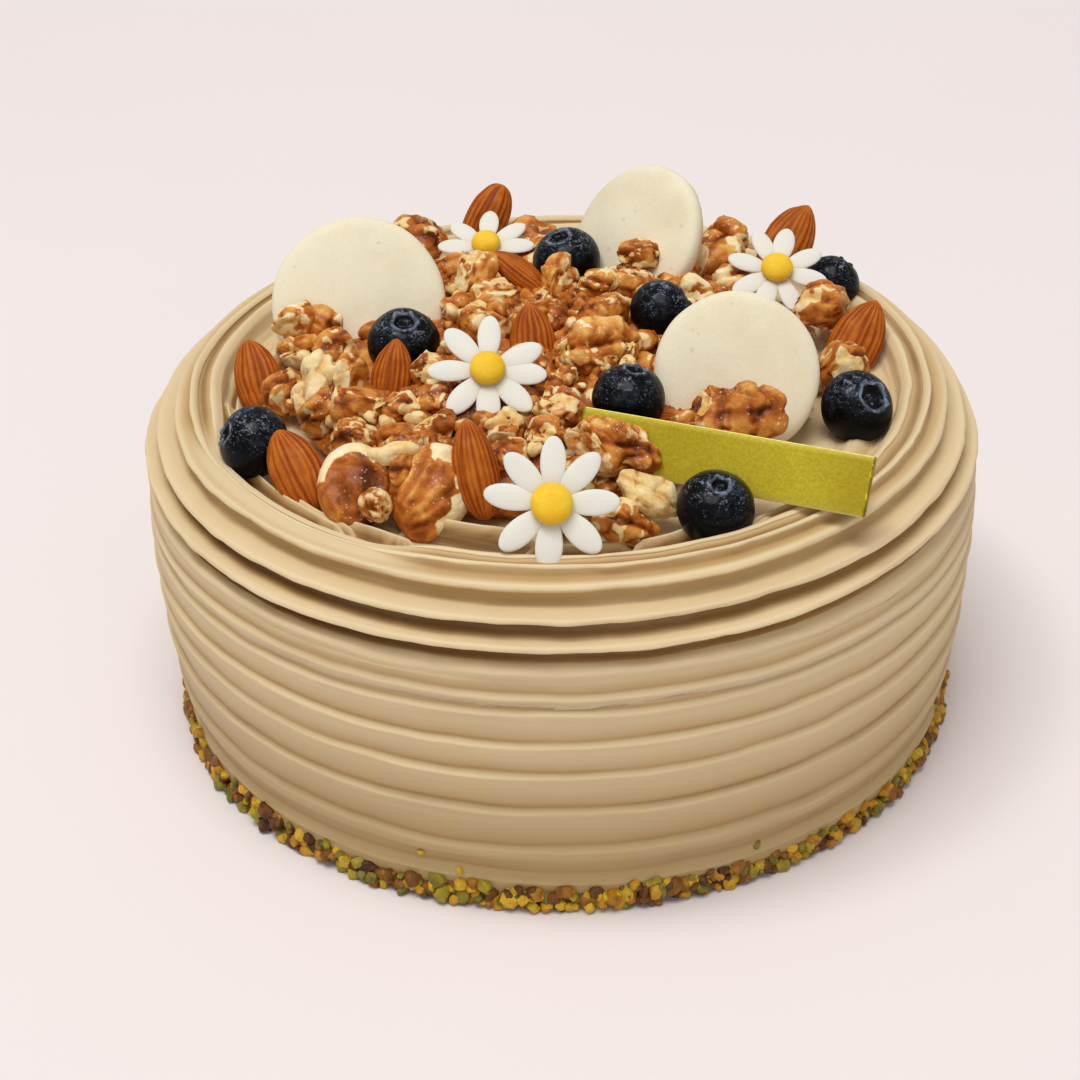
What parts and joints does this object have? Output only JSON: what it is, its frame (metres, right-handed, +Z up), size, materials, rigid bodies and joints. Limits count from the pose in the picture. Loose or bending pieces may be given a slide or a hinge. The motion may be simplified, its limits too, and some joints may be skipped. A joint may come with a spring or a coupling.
{
  "type": "coffee walnut cake",
  "caption": "Round iced cake with combed sides and stepped lips, topped with a heap of candied walnuts, macaron shells, berries, almonds, sugar daisies and a bare gold strip",
  "frame": {"origin": "middle of the cake's flat foot, on the surface it stands on", "axes": "+Z up from the foot to the toppings, -Y towards the front that the picture shows, +X to the right seen from the front"},
  "size_m": [0.2026, 0.202, 0.1154],
  "materials": {
    "icing": "soft matte buttercream",
    "pistachio": "dry chopped pistachio",
    "walnut": "sticky sugar glaze",
    "macaron": "smooth dry shell",
    "berry": "satin with a pale bloom",
    "almond": "dry ridged skin",
    "petal": "dull sugar paste",
    "heart": "dull sugar paste",
    "gold": "satin foil"
  },
  "bodies": {
    "root": {"cake": "icing", "walnut_heap": "walnut", "gold_strip": "gold", "daisy_front_petals": "petal", "daisy_front_heart": "heart", "daisy_middle_petals": "petal", "daisy_middle_heart": "heart", "daisy_back_petals": "petal", "daisy_back_heart": "heart", "daisy_right_petals": "petal", "daisy_right_heart": "heart", "blueberry_left": "berry", "blueberry_shell": "berry", "blueberry_back": "berry", "blueberry_middle": "berry", "blueberry_strip": "berry", "blueberry_right": "berry", "blueberry_hidden": "berry", "blueberry_front": "berry", "almond_left": "almond", "almond_front_left": "almond", "almond_shell": "almond", "almond_front": "almond", "almond_back": "almond", "almond_heap": "almond", "almond_dark": "almond", "almond_back_right": "almond", "almond_right": "almond", "almond_strip": "almond", "macaron_left": "macaron", "macaron_back": "macaron", "macaron_right": "macaron", "walnut_front_left": "walnut", "walnut_middle": "walnut", "walnut_right": "walnut", "walnut_front_ridge": "walnut", "walnut_front_pale": "walnut", "walnut_front_low": "walnut", "walnut_left_pale": "walnut", "walnut_left_high": "walnut", "walnut_left_low": "walnut", "walnut_back_left": "walnut", "walnut_back": "walnut", "walnut_right_edge": "walnut", "walnut_right_low": "walnut"}
  },
  "joints": []
}
